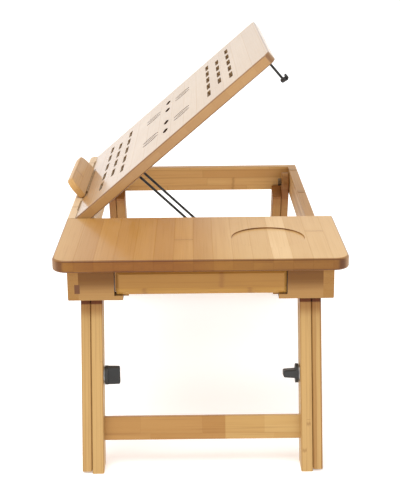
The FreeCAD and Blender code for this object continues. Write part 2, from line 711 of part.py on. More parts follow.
def hook_bush():
    """Flanged bush that holds the hook."""
    bush = rod(HOOK_X, HOOK_Y, BOARD_UNDER, BUSH_R, HOOK_SEAT, Z_AXIS)
    bush = bush.fuse(rod(HOOK_X, HOOK_Y, BOARD_UNDER - BUSH_H, BUSH_R + 1.5, BUSH_H, Z_AXIS))
    depth = HOOK_SEAT + BUSH_H - PART_GAP
    bore = rod(HOOK_X, HOOK_Y, BOARD_UNDER - BUSH_H - 1, HOOK_R + RUN_FIT, depth + 1, Z_AXIS)
    return raised(bush.cut(bore).removeSplitter())


# --- frame -------------------------------------------------------------------------------
def pivot_bore(x):
    """Bore for a leg pivot bolt, across the whole table."""
    return rod(x, -SIDE_Y, PIVOT_Z, BOLT_R + RUN_FIT, TABLE_WIDTH, Y_AXIS)


def eased(rail, outer):
    """Ease a rail's lower outer edge, the one whose bounds pass the test given."""
    boxes = [(edge, edge.BoundBox) for edge in rail.Edges]
    chosen = [edge for edge, box in boxes if box.ZMax < RAIL_BOTTOM + 1e-3 and outer(box)]
    return rail.makeFillet(RAIL_EDGE_R, chosen)


def front_rail():
    """Front long rail."""
    rail = block(-FRAME_X, FRAME_X, -RAIL_OUT, -RAIL_IN, RAIL_BOTTOM, RAIL_TOP)
    rail = eased(rail, lambda box: box.YMax < -RAIL_OUT + 1e-3)
    rail = rail.cut(frame_key_shape())
    return rail.cut(Part.makeCompound([pivot_bore(-PIVOT_X), pivot_bore(PIVOT_X)]))


def rear_rail():
    """Rear long rail, with the pocket that the latch hook turns into."""
    rail = block(-FRAME_X, FRAME_X, RAIL_IN, RAIL_OUT, RAIL_BOTTOM, RAIL_TOP)
    rail = eased(rail, lambda box: box.YMin > RAIL_OUT - 1e-3)
    rail = rail.cut(Part.makeCompound([pivot_bore(-PIVOT_X), pivot_bore(PIVOT_X)]))
    return rail.cut(keeper_pocket())


def keeper_pocket():
    """Pocket in the rear rail around the latched hook's foot."""
    z0 = HOOK_END_Z - HOOK_CAP_R - 1
    y0 = RAIL_OUT - KEEPER_DEPTH
    return block(HOOK_X - KEEPER_HALF, HOOK_X + KEEPER_HALF, y0, RAIL_OUT + 1, z0, z0 + KEEPER_H)


def frame_key_shape():
    """Small key set across the joint of the front rail and its end block."""
    y = -RAIL_IN - KEY_W / 4
    z = (RAIL_BOTTOM + RAIL_TOP) / 2 - KEY_H / 2
    return block(FRAME_X - KEY_DEPTH, FRAME_X, y - KEY_W / 2, y + KEY_W / 2, z - 4, z - 4 + KEY_H)


def end_block(sign):
    """Block beside the drawer front, with the tongue that the drawer passes over."""
    y_out = RAIL_IN
    body = block(BLOCK_X, FRAME_X, BLOCK_IN, y_out, RAIL_BOTTOM, RAIL_TOP)
    tongue = block(BLOCK_X, FRAME_X, RUNNER_IN, BLOCK_IN, RAIL_BOTTOM, RUNNER_TOP)
    body = body.fuse(tongue).removeSplitter()
    if sign > 0:
        return body
    return mirror_y(body).cut(frame_key_shape())


def far_end_rail():
    """Cross rail at the far end."""
    rail = block(-FRAME_X, -FRAME_X + FAR_END_T, -RAIL_IN, RAIL_IN, RAIL_BOTTOM, RAIL_TOP)
    return eased(rail, lambda box: box.XMax < -FRAME_X + 1e-3)


def front_batten():
    """Batten outside the front rail, under the hinge strip."""
    y0 = -RAIL_OUT - (SIDE_OVERHANG - BATTEN_LIP)
    return block(-FRAME_X + END_OVERHANG, BOARD_X1, y0, -RAIL_OUT, RAIL_TOP - BATTEN_H, RAIL_TOP)


def rail_pads():
    """Soft pads on the rails that the lowered board lies on."""
    y = (RAIL_IN + RAIL_OUT) / 2
    inset = RAIL_T + 4 * PAD_R
    spots = [(-FRAME_X + inset, y), (BOARD_X1 - inset, y), (BOARD_MID_X, y)]
    return [rod(x, py, RAIL_TOP, PAD_R, PAD_T, Z_AXIS) for x, py in spots]


# --- drawer ------------------------------------------------------------------------------
def drawer_runner(sign):
    """Angle runner under the fixed panel: a web and a lip that carries the drawer."""
    web = block(HOUSING_X, BLOCK_X, RUNNER_IN, RUNNER_OUT, RAIL_BOTTOM, RAIL_TOP)
    lip = block(HOUSING_X, BLOCK_X, RUNNER_IN - RUNNER_LIP_W, RUNNER_IN, RAIL_BOTTOM, RUNNER_TOP)
    runner = web.fuse(lip).removeSplitter()
    return runner if sign > 0 else mirror_y(runner)


def housing_back():
    """Board that closes the drawer's housing at the back."""
    return block(HOUSING_X - HOUSING_BACK_T, HOUSING_X, -RUNNER_OUT, RUNNER_OUT, RAIL_BOTTOM, RAIL_TOP)


def drawer_front():
    """Drawer front, bevelled all round its face; the lower bevel is the pull."""
    y0 = DRAWER_OFFSET - DRAWER_HALF_W
    y1 = DRAWER_OFFSET + DRAWER_HALF_W
    z0 = DRAWER_Z + DRAWER_FLOOR_GAP
    shoulder_x = FRAME_X - DRAWER_BEVEL_T
    back = block(DRAWER_FACE_X, shoulder_x, y0, y1, z0, DRAWER_TOP)
    loops = []
    for x, inset in ((shoulder_x, 0), (FRAME_X, DRAWER_BEVEL_W)):
        low, high = z0 + inset, DRAWER_TOP - inset
        corners = [V(x, y0 + inset, low), V(x, y1 - inset, low), V(x, y1 - inset, high), V(x, y0 + inset, high)]
        loops.append(Part.makePolygon(corners + corners[:1]))
    return back.fuse(Part.makeLoft(loops, True, True)).removeSplitter()


def drawer_side(sign):
    """Side wall of the drawer box."""
    y0 = DRAWER_BOX_Y - DRAWER_WALL_T
    z1 = DRAWER_Z + DRAWER_WALL_H
    side = block(DRAWER_BACK_X, DRAWER_FACE_X, y0, DRAWER_BOX_Y, DRAWER_Z, z1)
    return side if sign > 0 else mirror_y(side)


def drawer_back():
    """Back wall of the drawer box."""
    y = DRAWER_BOX_Y - DRAWER_WALL_T
    z1 = DRAWER_Z + DRAWER_WALL_H
    return block(DRAWER_BACK_X, DRAWER_BACK_X + DRAWER_WALL_T, -y, y, DRAWER_Z, z1)


def drawer_floor():
    """Floor panel of the drawer box."""
    y = DRAWER_BOX_Y - DRAWER_WALL_T
    x0 = DRAWER_BACK_X + DRAWER_WALL_T
    return block(x0, DRAWER_FACE_X, -y, y, DRAWER_Z, DRAWER_Z + DRAWER_FLOOR_T)


# --- legs --------------------------------------------------------------------------------
def slat(y0, y1, top, round_top):
    """A leg slat with eased long edges, over length at its foot, square or round at its top."""
    half = LEG_W / 2
    length = NEAR_LEG_END + LEG_W
    bar = block(-half, half, y0, y1, -length, -top)
    bar = bar.makeFillet(SLAT_EDGE_R, [e for e in bar.Edges if e.BoundBox.ZLength > LEG_W])
    if round_top:
        cap = rod(0, y0, 0, half, y1 - y0, Y_AXIS)
        cap = cap.makeFillet(SLAT_EDGE_R, [e for e in cap.Edges if e.BoundBox.XLength > half])
        bar = bar.fuse(cap).removeSplitter()
    return bar


def outer_slat():
    """Upper leg slat, round at its pivot, with its pivot bore and a recess for the bolt head."""
    bar = slat(OUTER_SLAT_Y0, OUTER_SLAT_Y1, 0, True)
    bore = rod(0, 0, 0, BOLT_R + RUN_FIT, SIDE_Y, Y_AXIS)
    hole = rod(0, 0, -KNOB_ALONG, BOLT_R + RUN_FIT, SIDE_Y, Y_AXIS)
    recess_y = OUTER_SLAT_Y1 - BOLT_HEAD_H - PART_GAP
    recess = rod(0, recess_y, -KNOB_ALONG, BOLT_HEAD_R + RUN_FIT, SIDE_Y, Y_AXIS)
    return bar.cut(Part.makeCompound([bore, hole])).cut(recess)


def inner_slat():
    """Lower leg slat with the long slot that it slides on."""
    bar = slat(INNER_SLAT_Y0, INNER_SLAT_Y1, INNER_TOP, False)
    r = BOLT_R + PART_GAP
    slot_tool = block(-r, r, 0, SIDE_Y, -KNOB_ALONG, LEG_TRAVEL - KNOB_ALONG)
    for z in (-KNOB_ALONG, LEG_TRAVEL - KNOB_ALONG):
        slot_tool = slot_tool.fuse(rod(0, 0, z, r, SIDE_Y, Y_AXIS))
    return bar.cut(slot_tool)


def crossbar():
    """Bar that joins the two lower slats of a leg frame."""
    along = (PIVOT_Z - CROSSBAR_Z) / math.cos(LEAN)
    x1 = LEG_W / 2 - CROSSBAR_SETBACK
    half = CROSSBAR_H / 2
    bar = block(x1 - CROSSBAR_T, x1, -INNER_SLAT_Y0, INNER_SLAT_Y0, -along - half, -along + half)
    rims = [edge for edge in bar.Edges if edge.BoundBox.YLength > 1]
    return bar.makeFillet(CROSSBAR_EDGE_R, rims)


def knob_bolt():
    """Carriage bolt through both slats, with its head let into the outer one."""
    head_y = OUTER_SLAT_Y1 - BOLT_HEAD_H
    knob_y = INNER_SLAT_Y0 - PART_GAP - WASHER_T - PART_GAP
    shank = rod(0, knob_y - KNOB_REACH + 4, -KNOB_ALONG, BOLT_R, head_y - knob_y + KNOB_REACH - 4, Y_AXIS)
    head = rod(0, head_y - PART_GAP, -KNOB_ALONG, BOLT_HEAD_R, BOLT_HEAD_H, Y_AXIS)
    return shank.fuse(head).removeSplitter()


def knob_washer():
    """Washer between a knob and its slat."""
    y0 = INNER_SLAT_Y0 - PART_GAP - WASHER_T
    ring = rod(0, y0, -KNOB_ALONG, KNOB_R - 1, WASHER_T, Y_AXIS)
    return ring.cut(rod(0, y0 - 1, -KNOB_ALONG, BOLT_R + RUN_FIT, WASHER_T + 2, Y_AXIS))


def wing_knob(turn):
    """Moulded wing knob: a disc with a tapered grip across it, turned about its bolt."""
    y1 = INNER_SLAT_Y0 - PART_GAP - WASHER_T - PART_GAP
    disc = rod(0, y1 - KNOB_DISC_T, -KNOB_ALONG, KNOB_R, KNOB_DISC_T, Y_AXIS)
    tip_y = y1 - KNOB_REACH
    z = -KNOB_ALONG
    base = WING_T / 2
    tip = WING_TIP_T / 2
    outline = [V(-WING_W / 2, y1 - 1, z - base), V(-WING_W / 2, y1 - 1, z + base)]
    outline += [V(-WING_W / 2, tip_y, z + tip), V(-WING_W / 2, tip_y, z - tip)]
    wing = prism(outline, V(WING_W, 0, 0))
    rims = [edge for edge in wing.Edges if edge.BoundBox.YMax < y1 - 2]
    wing = wing.makeFillet(1.6, rims + [e for e in wing.Edges if e.BoundBox.YLength > 5])
    knob = disc.fuse(wing).removeSplitter()
    knob = knob.cut(rod(0, tip_y + 3, -KNOB_ALONG, BOLT_R + RUN_FIT, KNOB_REACH, Y_AXIS))
    knob.rotate(V(0, 0, -KNOB_ALONG), Y_AXIS, turn)
    return knob


def pivot_bolt():
    """Domed bolt through the rail and the outer slat."""
    end = OUTER_SLAT_Y0 - NUT_H
    shank = rod(0, end, 0, BOLT_R, RAIL_OUT - end, Y_AXIS)
    dome = Part.makeSphere(BOLT_HEAD_R * 1.6, V(0, RAIL_OUT + BOLT_HEAD_H - BOLT_HEAD_R * 1.6, 0))
    dome = dome.common(block(-BOLT_HEAD_R, BOLT_HEAD_R, RAIL_OUT, RAIL_OUT + LEG_W, -BOLT_HEAD_R, BOLT_HEAD_R))
    return shank.fuse(dome).removeSplitter()


def pivot_nut():
    """Hexagon nut on the pivot bolt's inner end."""
    y0 = OUTER_SLAT_Y0 - NUT_H
    points = []
    for i in range(6):
        a = math.radians(60 * i)
        points.append(V(NUT_R * math.cos(a), y0, NUT_R * math.sin(a)))
    nut = prism(points, V(0, NUT_H - PART_GAP, 0))
    return nut.cut(rod(0, y0 - 1, 0, BOLT_R, NUT_H + 2, Y_AXIS))


def four_up(piece):
    """Set one leg piece at all four legs: near rear, near front, far rear, far front."""
    near = leaned(piece, LEAN)
    far = mirror_x(leaned(piece, FAR_LEAN))
    return [near, mirror_y(near), far, mirror_y(far)]


# --- everything --------------------------------------------------------------------------
def main():
    """Build every node and write it."""
    os.makedirs("parts", exist_ok=True)
    save("fixed_panel", fixed_panel())
    save("front_strip", front_strip())
    save("front_batten", front_batten())
    save("front_rail", front_rail())
    save("rear_rail", rear_rail())
    save("far_end_rail", far_end_rail())
    save("end_block_front", end_block(-1))
    save("end_block_rear", end_block(1))
    save("frame_key", frame_key_shape())
    save("prop_beam", prop_beam())
    save("notch_rack", notch_rack())
    save("drawer_runner_front", drawer_runner(-1))
    save("drawer_runner_rear", drawer_runner(1))
    save("drawer_housing_back", housing_back())
    save("rail_pads", rail_pads())
    save("board_hinge_fixed_leaves", fixed_leaves())
    save("board_hinge_pins", hinge_pins())
    save("leg_pivot_bolts", four_up(pivot_bolt()))
    save("leg_pivot_nuts", four_up(pivot_nut()))

    save("tilt_board", tilt_board())
    save("board_hinge_moving_leaves", moving_leaves())
    save("bail_brackets", bail_brackets())
    save("hook_bush", hook_bush())
    save("ledge_hinge_board_leaf", ledge_board_leaf())
    save("ledge_hinge_pin", ledge_pin())
    save("book_ledge", book_ledge())
    save("ledge_hinge_leaf", ledge_own_leaf())
    save("prop_bail", prop_bail())
    save("latch_hook", latch_hook())
    save("hook_cap", hook_cap())

    save("drawer_front", drawer_front())
    save("drawer_side_front", drawer_side(-1))
    save("drawer_side_rear", drawer_side(1))
    save("drawer_back", drawer_back())
    save("drawer_floor", drawer_floor())

    outer = four_up(outer_slat())
    inner = four_up(inner_slat())
    bolts = four_up(knob_bolt())
    washers = four_up(knob_washer())
    level_knobs = four_up(wing_knob(REAR_KNOB_TURN))
    upright_knobs = four_up(wing_knob(FRONT_KNOB_TURN))
    bars = {"near": leaned(crossbar(), LEAN), "far": mirror_x(leaned(crossbar(), FAR_LEAN))}
    for first, end in ((0, "near"), (2, "far")):
        save(end + "_outer_slat_rear", outer[first], OUTER_FOOT_LIFT)
        save(end + "_outer_slat_front", outer[first + 1], OUTER_FOOT_LIFT)
        save(end + "_inner_slat_rear", inner[first], 0)
        save(end + "_inner_slat_front", inner[first + 1], 0)
        save(end + "_knob_bolts", bolts[first:first + 2])
        save(end + "_knob_washers", washers[first:first + 2])
        save(end + "_knob_rear", level_knobs[first])
        save(end + "_knob_front", upright_knobs[first + 1])
        save(end + "_crossbar", bars[end])


main()
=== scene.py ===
"""Finish and setting of a folding bamboo bed table with a tilting board, a side panel and a drawer.

The frame is loaded as it was made. Each sub-assembly is a class that dresses its own pieces and adds
the small fittings that belong to it. Lengths are metres and angles are degrees, unless a name says so.
"""
from __future__ import annotations

import json
import logging
import math
from dataclasses import dataclass, field
from enum import Enum, auto
from typing import Callable, Sequence

import bpy
import numpy as np
from mathutils import Matrix, Vector

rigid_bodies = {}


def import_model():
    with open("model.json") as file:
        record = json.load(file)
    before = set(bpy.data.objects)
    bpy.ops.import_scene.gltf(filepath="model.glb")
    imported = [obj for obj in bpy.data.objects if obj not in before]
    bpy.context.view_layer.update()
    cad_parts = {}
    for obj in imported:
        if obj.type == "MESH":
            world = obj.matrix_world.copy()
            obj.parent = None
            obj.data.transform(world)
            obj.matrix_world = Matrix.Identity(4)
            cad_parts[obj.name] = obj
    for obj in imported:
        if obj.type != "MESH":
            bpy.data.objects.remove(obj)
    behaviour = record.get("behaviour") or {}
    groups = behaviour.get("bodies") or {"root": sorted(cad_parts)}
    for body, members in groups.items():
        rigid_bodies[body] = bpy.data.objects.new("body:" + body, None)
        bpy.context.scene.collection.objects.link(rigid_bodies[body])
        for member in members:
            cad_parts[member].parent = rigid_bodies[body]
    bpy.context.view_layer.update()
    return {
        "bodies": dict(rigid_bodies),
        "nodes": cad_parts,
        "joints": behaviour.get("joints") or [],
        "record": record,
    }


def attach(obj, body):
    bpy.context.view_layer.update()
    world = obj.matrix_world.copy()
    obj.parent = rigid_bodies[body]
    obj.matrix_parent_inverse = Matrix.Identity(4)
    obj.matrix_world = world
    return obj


LOG = logging.getLogger("bed_table")
MM = 0.001
Colour = tuple[float, float, float]

# A face counts as looking one way from the first cosine on, and fully from the second.
FACING_START = 0.55
FACING_FULL = 0.85


# --- shader arithmetic -------------------------------------------------------------------
@dataclass(frozen=True)
class Signal:
    """A value on one output socket, which adds Math nodes when it is calculated with."""

    web: "Web"
    socket: bpy.types.NodeSocket

    def _math(self, operation: str, *values: object) -> "Signal":
        """Return one Math node's result."""
        return self.web.node("ShaderNodeMath", {"operation": operation}, *values)

    def __add__(self, other: object) -> "Signal":
        """Return the sum."""
        return self._math("ADD", self, other)

    __radd__ = __add__

    def __sub__(self, other: object) -> "Signal":
        """Return the difference."""
        return self._math("SUBTRACT", self, other)

    def __rsub__(self, other: object) -> "Signal":
        """Return the difference the other way round."""
        return self._math("SUBTRACT", other, self)

    def __mul__(self, other: object) -> "Signal":
        """Return the product."""
        return self._math("MULTIPLY", self, other)

    __rmul__ = __mul__

    def __truediv__(self, other: object) -> "Signal":
        """Return the quotient."""
        return self._math("DIVIDE", self, other)

    def __abs__(self) -> "Signal":
        """Return the size without the sign."""
        return self._math("ABSOLUTE", self)

    def __gt__(self, other: object) -> "Signal":
        """Return 1 where this is greater and 0 elsewhere."""
        return self._math("GREATER_THAN", self, other)

    def __lt__(self, other: object) -> "Signal":
        """Return 1 where this is less and 0 elsewhere."""
        return self._math("LESS_THAN", self, other)

    def floor(self) -> "Signal":
        """Return the whole number below."""
        return self._math("FLOOR", self)

    def fraction(self) -> "Signal":
        """Return what is left over the whole number below."""
        return self._math("FRACT", self)

    def ramp(self, low: float, high: float) -> "Signal":
        """Return 0 below low, 1 above high and a smooth step between them."""
        return self.web.node("ShaderNodeMapRange", {"interpolation_type": "SMOOTHSTEP"}, self, low, high)


class Web:
    """Builds one material's nodes."""

    def __init__(self, name: str) -> None:
        """Start a material with nothing but its shader and output."""
        self.material = bpy.data.materials.new(name)
        self.material.use_nodes = True
        self.tree = self.material.node_tree
        self.shader = self.tree.nodes["Principled BSDF"]

    def node(self, kind: str, settings: dict, *values: object, out: int | str = 0, **named: object) -> Signal:
        """Add any node.

        Args:
            kind: the node's type.
            settings: properties that are set before its sockets.
            values: values or signals of the first sockets, in order; None leaves one alone.
            out: which output to return.
            named: values or signals of sockets by name, with _ for a space.

        Returns:
            The chosen output as a signal.
        """
        node = self.tree.nodes.new(kind)
        for key, value in settings.items():
            setattr(node, key, value)
        for index, value in enumerate(values):
            if value is not None:
                self.feed(node.inputs[index], value)
        for key, value in named.items():
            self.feed(node.inputs[key.replace("_", " ")], value)
        return Signal(self, node.outputs[out])

    def feed(self, socket: bpy.types.NodeSocket, value: object) -> None:
        """Link a signal to a socket, or set the socket's own value."""
        if isinstance(value, Signal):
            self.tree.links.new(value.socket, socket)
        else:
            socket.default_value = value

    def blend(self, share: object, low: object, high: object, mode: str = "MIX") -> Signal:
        """Return a mix of two colours."""
        settings = {"data_type": "RGBA", "blend_type": mode}
        node = self.node("ShaderNodeMix", settings, out=2).socket.node
        for index, value in ((0, share), (6, low), (7, high)):
            self.feed(node.inputs[index], (*value, 1.0) if isinstance(value, tuple) else value)
        return Signal(self, node.outputs[2])

    def place(self, turn: Sequence[float] = (0, 0, 0), scale: Sequence[float] = (1, 1, 1)) -> Signal:
        """Return object coordinates, turned by angles and scaled."""
        spot = self.node("ShaderNodeTexCoord", {}, out="Object")
        turned = self.node("ShaderNodeMapping", {}, spot, Rotation=[math.radians(a) for a in turn])
        return self.node("ShaderNodeMapping", {}, turned, Scale=list(scale))

    def facing(self, turn: Sequence[float]) -> Signal:
        """Return the surface's direction, in a frame turned by angles as place turns its own."""
        normal = self.node("ShaderNodeTexCoord", {}, out="Normal")
        angles = [math.radians(a) for a in turn]
        return self.node("ShaderNodeMapping", {"vector_type": "NORMAL"}, normal, Rotation=angles)

    def toward(self, what: str, way: Vector) -> Signal:
        """Return how far a coordinate, such as Object or Normal, lies along a direction."""
        vector = self.node("ShaderNodeTexCoord", {}, out=what)
        return self.node("ShaderNodeVectorMath", {"operation": "DOT_PRODUCT"}, vector, way, out="Value")

    def part(self, vector: Signal, axis: int) -> Signal:
        """Return one component of a vector."""
        return self.node("ShaderNodeSeparateXYZ", {}, vector, out=axis)

    def join(self, x: object, y: object, z: object) -> Signal:
        """Return a vector of three values."""
        return self.node("ShaderNodeCombineXYZ", {}, x, y, z)

    def noise(self, where: Signal, scale: float, detail: float = 3.0) -> Signal:
        """Return soft noise from 0 to 1."""
        return self.node("ShaderNodeTexNoise", {}, where, Scale=scale, Detail=detail)

    def dice(self, where: Signal) -> Signal:
        """Return one random value for each point."""
        return self.node("ShaderNodeTexWhiteNoise", {"noise_dimensions": "3D"}, where)

    def bump(self, height: Signal, depth: float, strength: float) -> None:
        """Drive the shader's normal from a height in metres."""
        bent = self.node("ShaderNodeBump", {}, Height=height, Distance=depth, Strength=strength)
        self.feed(self.shader.inputs["Normal"], bent)

    def fix(self, **values: object) -> None:
        """Set constants or signals on the shader."""
        for key, value in values.items():
            self.feed(self.shader.inputs[key.replace("_", " ")], value)


# --- finishes ----------------------------------------------------------------------------
class Grain(Enum):
    """Which way the grain of a piece runs."""

    LENGTHWISE = auto()
    CROSSWISE = auto()
    BOARD = auto()
    NEAR_LEG = auto()
    FAR_LEG = auto()


class End(Enum):
    """Which end of the table a leg frame stands at."""

    NEAR = "near"
    FAR = "far"


@dataclass(frozen=True)
class Lie:
    """How a piece of laminated wood lies: which way its grain runs, and which way its layers face."""

    along: Vector
    layers: Vector

    def matrix(self) -> Matrix:
        """Return the matrix that brings the grain to X and the layers' facing to Z."""
        return Matrix((self.along, self.layers.cross(self.along), self.layers))

    def turn(self) -> tuple[float, float, float]:
        """Return the same turn as three angles in degrees."""
        return tuple(math.degrees(a) for a in self.matrix().to_euler("XYZ"))


@dataclass(frozen=True)
class Directions:
    """The table's own directions, read from the joints; the table slopes a little towards its far end."""

    axes: dict[str, Vector]

    @classmethod
    def of(cls, frame: dict) -> "Directions":
        """Read every joint's axis."""
        return cls({joint["name"]: Vector(joint["axis"]).normalized() for joint in frame["joints"]})

    @property
    def long(self) -> Vector:
        """Return the way the drawer slides out, along the table."""
        return self.axes["drawer_slide"]

    @property
    def across(self) -> Vector:
        """Return the way across the table, towards its rear."""
        return Vector((0, 1, 0))

    @property
    def rise(self) -> Vector:
        """Return the way up from the table's top."""
        return self.long.cross(self.across)

    def turned(self) -> Matrix:
        """Return the matrix that takes the table's directions to the scene's."""
        return Matrix((self.long, self.across, self.rise)).transposed().to_4x4()

    def lie(self, grain: Grain) -> Lie:
        """Return how wood of one kind of grain lies."""
        facing = self.axes["hook_turn"]
        near, far = self.axes["near_leg_extend"], self.axes["far_leg_extend"]
        lies = {
            Grain.LENGTHWISE: Lie(self.long, self.rise),
            Grain.CROSSWISE: Lie(self.across, self.rise),
            Grain.BOARD: Lie(self.long, facing),
            Grain.NEAR_LEG: Lie(near, near.cross(self.across)),
            Grain.FAR_LEG: Lie(far, far.cross(self.across)),
        }
        return lies[grain]

    def extent(self, node: bpy.types.Object, grain: Grain | None = None) -> tuple[Vector, Vector]:
        """Return a node's low and high corners, measured the way a grain runs.

        Args:
            node: the object to measure.
            grain: whose directions to measure along; the table's own ones if it is left out.

        Returns:
            The low and the high corner.
        """
        turn = self.lie(grain or Grain.LENGTHWISE).matrix()
        points = np.array([turn @ (node.matrix_world @ vertex.co) for vertex in node.data.vertices])
        return Vector(points.min(axis=0)), Vector(points.max(axis=0))

    def place(self, facing: Sequence[float], spot: Sequence[float]) -> Matrix:
        """Return the matrix that stands a piece made about Z at a spot of the table, facing a way."""
        return self.turned() @ towards(facing, spot)


class Overlay:
    """A change of the wood's colour over part of a piece: the wood's own tone in a few, painted shade in
    most.
    """

    def over(self, web: Web, colour: Signal) -> Signal:
        """Return the colour with the change laid over it."""
        raise NotImplementedError


@dataclass(frozen=True)
class ShadedSlots(Overlay):
    """Painted shade on the walls inside a board's cut slots, standing for the shadow in them; the outer edges
    stay as they are.

    A face is a slot's wall where the size of its direction's part along the layers is below wall, and
    the board's surface where it is above surface.
    """

    lie: Lie
    low: Vector
    high: Vector
    margin: float = 12.0 * MM
    burnt: Colour = (0.40, 0.31, 0.22)
    share: float = 0.92
    wall: float = 0.35
    surface: float = 0.75

    def over(self, web: Web, colour: Signal) -> Signal:
        """Return the colour, darkened by painted shade on walls that stand across the board within its
        margins.
        """
        turn = self.lie.turn()
        spot = web.place(turn)
        inside = 1.0 - abs(web.part(web.facing(turn), 2)).ramp(self.wall, self.surface)
        for axis in (0, 1):
            place = web.part(spot, axis)
            inside = inside * (place > self.low[axis] + self.margin) * (place < self.high[axis] - self.margin)
        return web.blend(inside * self.share, colour, self.burnt)


@dataclass(frozen=True)
class Band(Overlay):
    """A darker band across a piece: full for core on each side of its centre, gone at reach.

    Its centre is measured from the scene's origin along way. Where it names a facing, it lies only on
    the faces that look that way.
    """

    way: Vector
    centre: float
    core: float
    reach: float
    tint: Colour
    facing: Vector | None = None

    def over(self, web: Web, colour: Signal) -> Signal:
        """Return the colour, multiplied by the tint within the band."""
        strength = 1.0 - abs(web.toward("Object", self.way) - self.centre).ramp(self.core, self.reach)
        if self.facing is not None:
            strength = strength * web.toward("Normal", self.facing).ramp(FACING_START, FACING_FULL)
        return web.blend(strength, colour, self.tint, "MULTIPLY")


@dataclass(frozen=True)
class DarkFace(Overlay):
    """A darker face on the sides of a piece that look one way: mostly painted shade, for faces that lie in
    shade under the top or in a gap.
    """

    way: Vector
    tint: Colour
    start: float = FACING_START
    full: float = FACING_FULL

    def over(self, web: Web, colour: Signal) -> Signal:
        """Return the colour, multiplied by the tint on faces that look that way."""
        strength = web.toward("Normal", self.way).ramp(self.start, self.full)
        return web.blend(strength, colour, self.tint, "MULTIPLY")


@dataclass(frozen=True)
class ShadedEdges(Overlay):
    """Darker rounded edges, where a face turns into the next one: painted shade, where the rounding turns
    away from the light.

    A face is flat, and stays as it is, where it looks one of the wood's ways by more than flat_from.
    """

    lie: Lie
    tint: Colour = (0.52, 0.42, 0.33)
    rounded_to: float = 0.92
    flat_from: float = 0.995

    def over(self, web: Web, colour: Signal) -> Signal:
        """Return the colour, multiplied by the tint on faces that lie square to none of the directions."""
        facing = web.facing(self.lie.turn())
        rounded, *others = (1.0 - abs(web.part(facing, axis)).ramp(self.rounded_to, self.flat_from)
                            for axis in range(3))
        for other in others:
            rounded = rounded * other
        return web.blend(rounded, colour, self.tint, "MULTIPLY")


